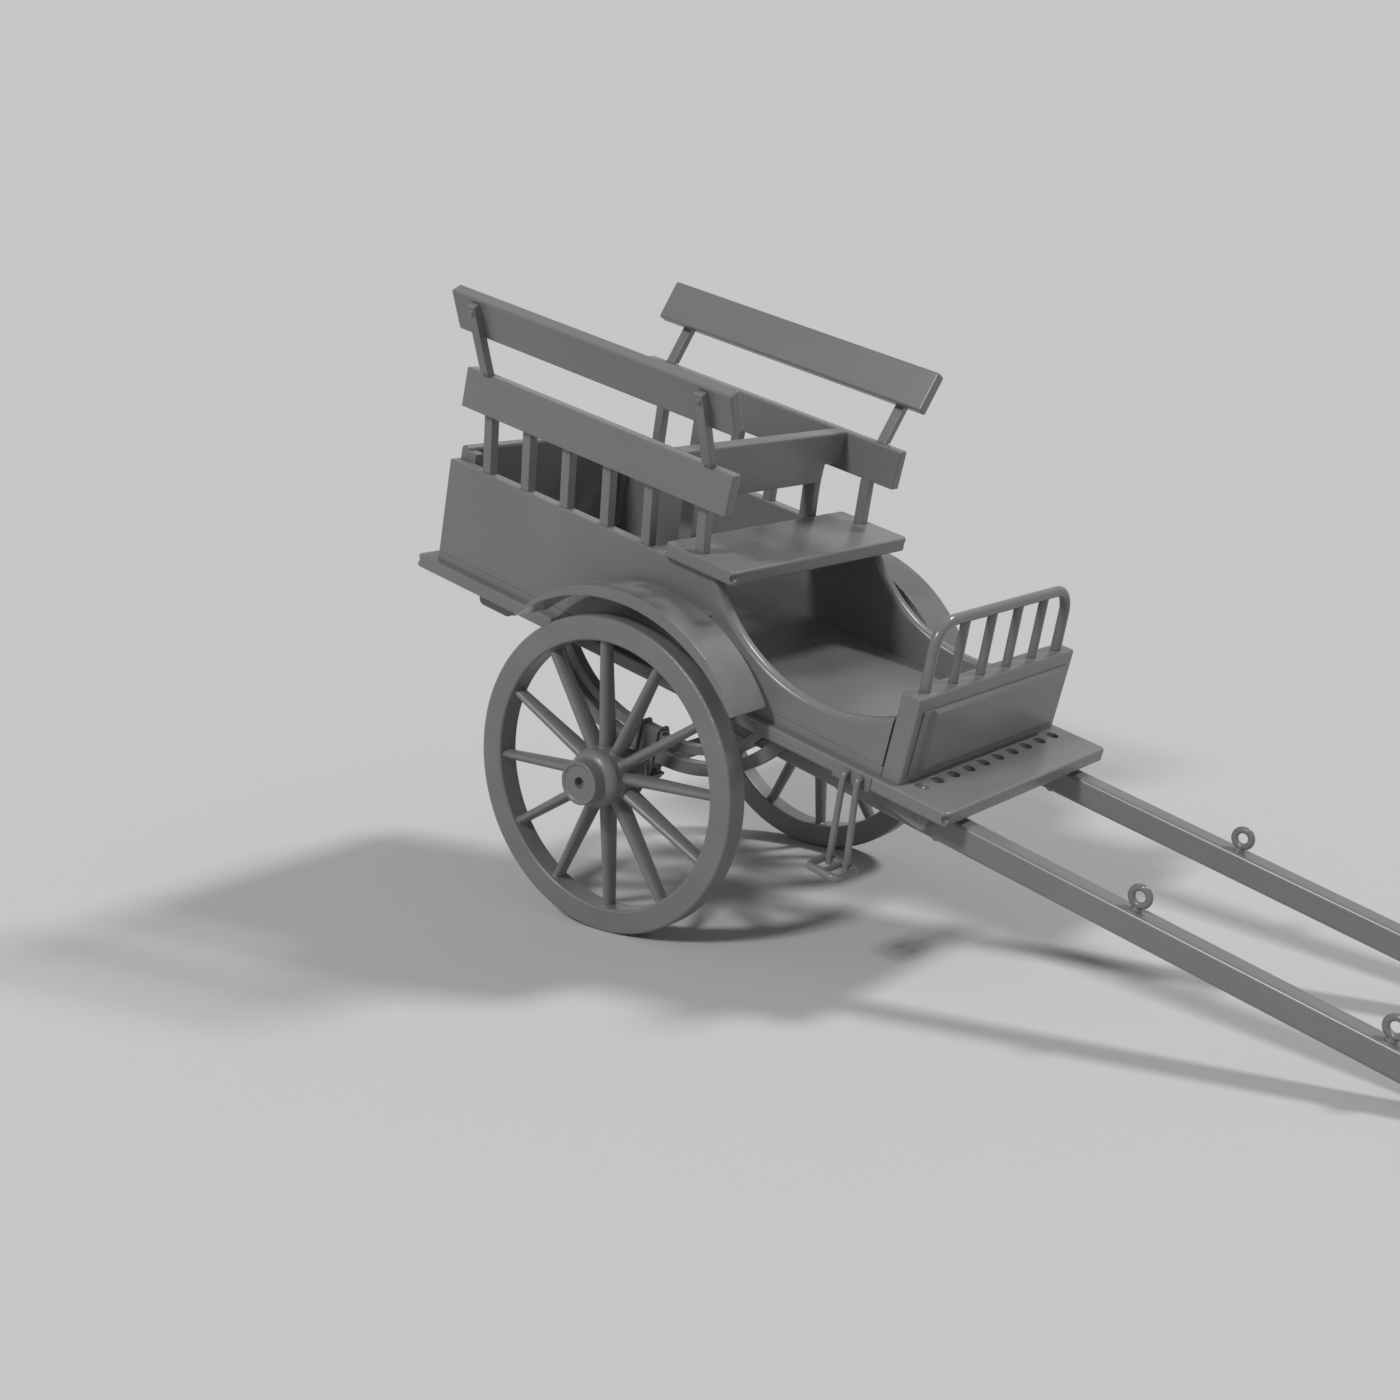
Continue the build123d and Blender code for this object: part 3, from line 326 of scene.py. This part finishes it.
def painted_wood(name, grain_axis):
    """Grey satin paint whose noise is drawn out along one axis of the tipped cart."""
    material, tree, shader = node_material(name)
    nodes, links = tree.nodes, tree.links
    place = nodes.new("ShaderNodeTexCoord")
    turn = nodes.new("ShaderNodeMapping")
    turn.vector_type = "TEXTURE"
    turn.inputs["Rotation"].default_value = (0.0, TILT, 0.0)
    links.new(place.outputs["Object"], turn.inputs["Vector"])
    draw = nodes.new("ShaderNodeMapping")
    stretch = np.where(np.arange(3) == grain_axis, GRAIN_ALONG, GRAIN_ACROSS)
    draw.inputs["Scale"].default_value = stretch
    links.new(turn.outputs["Vector"], draw.inputs["Vector"])
    grain = noise(tree, draw.outputs["Vector"], 1.0, GRAIN_DETAIL)
    grain.inputs["Roughness"].default_value = GRAIN_BREAKS
    patches = noise(tree, turn.outputs["Vector"], PATCH_SCALE, PATCH_DETAIL)
    blend = nodes.new("ShaderNodeMath")
    blend.operation = "MULTIPLY_ADD"
    blend.inputs[1].default_value = GRAIN_SHARE
    links.new(grain.outputs["Fac"], blend.inputs[0])
    links.new(patches.outputs["Fac"], blend.inputs[2])
    tone = two_tones(tree, blend.outputs["Value"], WOOD_LIMITS, WOOD_TONES)
    # Edges get a painted highlight, paler than the paint
    colour, rounded = painted_edge_highlight(tree, tone)
    links.new(colour, shader.inputs["Base Color"])
    broken_sheen(tree, shader, grain.outputs["Fac"], WOOD_SMOOTHEST, WOOD_DULLEST)
    low_relief(tree, shader, grain.outputs["Fac"], rounded, WOOD_RELIEF, WOOD_DEPTH)
    return material


wood_along = painted_wood("grey_wood_along", 0)
wood_across = painted_wood("grey_wood_across", 1)
wood_upright = painted_wood("grey_wood_upright", 2)
print("wood finishes", wood_along.name, wood_across.name, wood_upright.name)

# %% [markdown]
# ## Grey paint on iron
# The same paint on iron lies smoother: no grain, only the fine pebble of brushed enamel and a closer sheen.
# The wheels share it with a coarser pebble and a duller sheen, because their paint is laid on thick against
# stones and mud.

# %% Mix the iron paint
IRON_TONES = ((0.178, 0.179, 0.182, 1.0), (0.204, 0.204, 0.205, 1.0))
IRON_LIMITS = (0.3, 0.7)
CLOUD_SCALE, CLOUD_DETAIL = 7.0, 4.0
PEBBLE_DETAIL = 2.0
SHEEN_SPREAD = 0.08
IRON_RELIEF, IRON_DEPTH = 0.06, 0.001


def painted_iron(name, pebble, gloss):
    """Grey satin enamel with a fine pebble of the given scale; gloss is the lowest roughness."""
    material, tree, shader = node_material(name)
    place = tree.nodes.new("ShaderNodeTexCoord")
    cloud = noise(tree, place.outputs["Object"], CLOUD_SCALE, CLOUD_DETAIL)
    tone = two_tones(tree, cloud.outputs["Fac"], IRON_LIMITS, IRON_TONES)
    # Edges get a painted highlight, paler than the paint
    colour, rounded = painted_edge_highlight(tree, tone)
    tree.links.new(colour, shader.inputs["Base Color"])
    broken_sheen(tree, shader, cloud.outputs["Fac"], gloss, gloss + SHEEN_SPREAD)
    grit = noise(tree, place.outputs["Object"], pebble, PEBBLE_DETAIL)
    low_relief(tree, shader, grit.outputs["Fac"], rounded, IRON_RELIEF, IRON_DEPTH)
    return material


iron_paint = painted_iron("grey_iron", pebble=220.0, gloss=0.18)
wheel_paint = painted_iron("grey_wheel", pebble=60.0, gloss=0.32)
print("iron finishes", iron_paint.name, wheel_paint.name)

# %% [markdown]
# ## Painting the pieces
# A painter takes the boards in the direction of their grain, then the ironwork, then the wheels. Every
# solid has a plain name, so a short list of names for each finish is enough. What is on no list is a board
# that runs along the cart.

# %% Paint the boards, the wheels and the ironwork
ACROSS = ("tail_board", "dash_board", "dash_panel", "seat_plank", "seat_beam", "cross_rail")
UPRIGHT = ("rail_posts", "cross_posts", "corner_post")
WHEEL = ("rim", "spokes", "hub")
IRON = (
    "axle_beam", "leaf_spring", "spring_clamp", "rail_brackets", "dash_hoop", "dash_spindles",
    "shaft_eyes", "step", "step_plate", "mudguard",
)
FINISHES = ((ACROSS, wood_across), (UPRIGHT, wood_upright), (WHEEL, wheel_paint), (IRON, iron_paint))
for node_name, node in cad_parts.items():
    stem = node_name.removesuffix("_left").removesuffix("_right")
    finish = wood_along
    for stems, paint in FINISHES:
        finish = paint if stem in stems else finish
    node.data.materials.clear()
    node.data.materials.append(finish)
print("painted", len(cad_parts), "nodes")

# %% [markdown]
# ## Where the spokes enter the wheel
# A wheelwright leaves a small swelling where a spoke enters its mortise, so that the shoulder sits tight.
# It could be a fillet on the solid, but there are four dozen of them on curved ground, so a surface is
# quicker: walk round the spoke's oval, and at each step draw a hollow quarter circle from the wheel up to
# the spoke. Corners under the paint close the section, so that each swelling is a ring with an inside.

# %% Shape the spoke shoulders
SPOKE_COUNT = 12
SPOKE_ROOT = np.array((0.0435, 0.046, 0.023))  # radius, half width along the axle, half width in the plane
SPOKE_END = np.array((0.5535, 0.027, 0.017))
HUB_BAND = 0.108
RIM_INSIDE = 0.507


def ring_faces(rows, columns, count):
    """Quads of count closed grids of rows by columns, each joined round both ways, one after another."""
    row, column = np.meshgrid(np.arange(rows), np.arange(columns), indexing="ij")
    below, beside = (row + 1) % rows, (column + 1) % columns
    here, under = row * columns, below * columns
    one = np.stack((here + column, here + beside, under + beside, under + column), axis=-1).reshape(-1, 4)
    return (one[None] + (np.arange(count) * rows * columns)[:, None, None]).reshape(-1, 4)


def spoke_shoulders(ground, inwards, swell=0.005, sunk=0.002, steps=7, around=40):
    """Rings round every spoke where it meets a cylinder about the axle.

    With t round the oval and f over a quarter turn, the section stands swell (1 - sin f) out from the
    oval and swell (1 - cos f) off the cylinder; radial place is sqrt(ground^2 - across^2) plus that
    height, or minus it.
    """
    quarter = np.linspace(0, np.pi / 2, steps)
    out = np.append(swell * (1 - np.sin(quarter)), (-sunk, -sunk, swell))
    off = np.append(swell * (1 - np.cos(quarter)), (swell, -sunk, -sunk))
    t = np.linspace(0, 2 * np.pi, around, endpoint=False)
    share = (ground - SPOKE_ROOT[0]) / (SPOKE_END[0] - SPOKE_ROOT[0])
    wide, deep = SPOKE_ROOT[1:] + share * (SPOKE_END[1:] - SPOKE_ROOT[1:])
    along = (wide + out[:, None]) * np.cos(t)
    across = (deep + out[:, None]) * np.sin(t)
    radial = np.sqrt(ground**2 - across**2) + (-off[:, None] if inwards else off[:, None])
    turn = np.arange(SPOKE_COUNT)[:, None, None] * 2 * np.pi / SPOKE_COUNT
    x = radial * np.cos(turn) - across * np.sin(turn)
    z = radial * np.sin(turn) + across * np.cos(turn)
    y = np.broadcast_to(along, x.shape)
    faces = ring_faces(len(out), around, SPOKE_COUNT)
    return np.stack((x, y, z), axis=-1).reshape(-1, 3), faces[:, ::-1] if inwards else faces


hub_rings, hub_faces = spoke_shoulders(HUB_BAND, inwards=False)
rim_rings, rim_faces = spoke_shoulders(RIM_INSIDE, inwards=True)
rings = np.concatenate((hub_rings, rim_rings))
shoulder_faces = np.concatenate((hub_faces, rim_faces + len(hub_rings))).tolist()
for side_name, side in (("left", 1.0), ("right", -1.0)):
    points = rings + axle + (0.0, side * wheel_y, 0.0)
    shoulders = mesh_object(f"spoke_shoulders_{side_name}", points, shoulder_faces, smooth=True)
    shoulders.data.materials.append(wheel_paint)
    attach(shoulders, f"wheel_{side_name}")
print("spoke shoulders", 4 * SPOKE_COUNT)

# %% [markdown]
# ## Bolts and nuts
# Coach bolts hold the blocks and the rail brackets, and hex nuts hold the shafts and the spring clamps from
# below. Both are a profile turned about an axis: many sides give a round head, six give a nut. A whole set
# is one small grid of points, copied by array sums to every place and turned to every face, and a fan of
# triangles round a point on the axis closes each end of the profile.

# %% Turn a set of heads or nuts
NEARLY_UPRIGHT = 0.9


def turned_set(name, places, normals, profile, sides, smooth):
    """Profile rows (r, h) turned about each unit normal n, with both ends closed.

    With u and v square to n, p = place + r (u cos a + v sin a) + h n.
    """
    upright = np.abs(normals[:, 2:3]) >= NEARLY_UPRIGHT
    helper = np.where(upright, [[1.0, 0.0, 0.0]], [[0.0, 0.0, 1.0]])
    u = np.cross(helper, normals)
    u /= np.linalg.norm(u, axis=1, keepdims=True)
    v = np.cross(normals, u)
    angle = np.linspace(0, 2 * np.pi, sides, endpoint=False)
    ring = np.cos(angle)[:, None] * u[:, None, :] + np.sin(angle)[:, None] * v[:, None, :]
    radius, height = np.asarray(profile).T
    lift = height[None, :, None, None] * normals[:, None, None, :]
    body = places[:, None, None, :] + radius[None, :, None, None] * ring[:, None] + lift
    poles = places[:, None, :] + height[[0, -1]][None, :, None] * normals[:, None, :]
    rows, count = len(profile), len(places)
    points = np.concatenate((body.reshape(count, -1, 3), poles), axis=1)
    k = np.arange(sides)
    beside = (k + 1) % sides
    row = np.arange(rows - 1)[:, None] * sides
    wall = np.stack((row + k, row + beside, row + sides + beside, row + sides + k), axis=-1).reshape(-1, 4)
    under = np.stack((beside, k, np.full(sides, rows * sides)), axis=-1)
    last = (rows - 1) * sides
    over = np.stack((last + k, last + beside, np.full(sides, rows * sides + 1)), axis=-1)
    start = (np.arange(count) * points.shape[1])[:, None, None]
    faces = (wall + start).reshape(-1, 4).tolist()
    faces += (under + start).reshape(-1, 3).tolist()
    faces += (over + start).reshape(-1, 3).tolist()
    thing = mesh_object(name, points, faces, smooth)
    thing.data.materials.append(iron_paint)
    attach(thing, "cart")
    print(name, count)


def both_sides(level_points):
    """Level points of the left side, and the same mirrored to the right."""
    level_points = np.atleast_2d(level_points)
    return np.concatenate((level_points, level_points * (1, -1, 1)))


print("a metre to the left, and its mirror:", both_sides((0.0, 1.0, 0.0)).tolist())

# %% [markdown]
# ### Round heads
# One large head shows on the outer face of each front block, and one on each rail bracket just below its
# top. A head is a low dome on a short skirt that is sunk in the wood, so that no gap shows round it.

# %% Set the round heads
BLOCK_HEAD = (1.175, 0.4975, 0.317)
BLOCK_HEAD_RADIUS, BLOCK_HEAD_HEIGHT = 0.018, 0.009
BLOCK_HEAD_SIDES = 32
BRACKET_XS = (-1.041, 0.064)
BRACKET_HEAD_Y, BRACKET_HEAD_Z = 0.7030, 1.4498
BRACKET_LEAN = radians(27.0)
BRACKET_HEAD_RADIUS, BRACKET_HEAD_HEIGHT = 0.013, 0.008
ROUND_SIDES = 28


def dome(radius, height, steps=8, sunk=0.002):
    """Rows of a low dome, r = R cos t and h = H sin t, on a short skirt sunk in the wood."""
    t = np.linspace(0, np.pi / 2, steps, endpoint=False)
    rows = np.stack((radius * np.cos(t), height * np.sin(t)), axis=-1)
    return np.concatenate((((radius, -sunk),), rows))


block_places = parked(both_sides(BLOCK_HEAD))
block_normals = tipped(both_sides((0.0, 1.0, 0.0)))
block_dome = dome(BLOCK_HEAD_RADIUS, BLOCK_HEAD_HEIGHT)
turned_set("block_bolts", block_places, block_normals, block_dome, BLOCK_HEAD_SIDES, smooth=True)

bracket_out = np.array((0.0, np.cos(BRACKET_LEAN), -np.sin(BRACKET_LEAN)))
bracket_places = parked(both_sides([(x, BRACKET_HEAD_Y, BRACKET_HEAD_Z) for x in BRACKET_XS]))
bracket_normals = tipped(both_sides(np.tile(bracket_out, (len(BRACKET_XS), 1))))
bracket_dome = dome(BRACKET_HEAD_RADIUS, BRACKET_HEAD_HEIGHT)
turned_set("bracket_bolts", bracket_places, bracket_normals, bracket_dome, ROUND_SIDES, smooth=True)

# %% [markdown]
# ### Hex nuts
# Under each spring clamp four nuts draw the bent bolts tight, and three hold each shaft up to the floor. A
# nut's corners are chamfered, and it stands on a round washer. The shafts fall a little towards their tips,
# so each nut is set as low as the shaft is at its place.

# %% Set the nuts and their washers
NUT = ((0.0145, 0.0), (0.0145, 0.0095), (0.0120, 0.0115))  # radius and height of each row
WASHER = ((0.0185, -0.001), (0.0185, 0.0022), (0.0175, 0.0030))
NUT_SIDES = 6
NUT_LIFT = 0.0025
CLAMP_BOLT_XS = (-0.042, 0.042)
CLAMP_BOLT_YS = (0.444, 0.506)
CLAMP_UNDERSIDE = -0.035
SHAFT_BOLT_XS = (0.42, 0.80, 1.22)
SHAFT_Y = 0.410
SHAFT_REAR_X, SHAFT_REAR_UNDERSIDE = 0.2, 0.257
SHAFT_FALL = np.tan(radians(1.03))
clamp_places = [(x, y, CLAMP_UNDERSIDE) for x in CLAMP_BOLT_XS for y in CLAMP_BOLT_YS]
shaft_places = [
    (x, SHAFT_Y, SHAFT_REAR_UNDERSIDE - (x - SHAFT_REAR_X) * SHAFT_FALL) for x in SHAFT_BOLT_XS
]
washer_places = both_sides(clamp_places + shaft_places)
downwards = np.tile((0.0, 0.0, -1.0), (len(washer_places), 1))
nut_places = washer_places + downwards * NUT_LIFT
turned_set("nut_washers", parked(washer_places), tipped(downwards), WASHER, ROUND_SIDES, smooth=False)
turned_set("hex_nuts", parked(nut_places), tipped(downwards), NUT, NUT_SIDES, smooth=False)
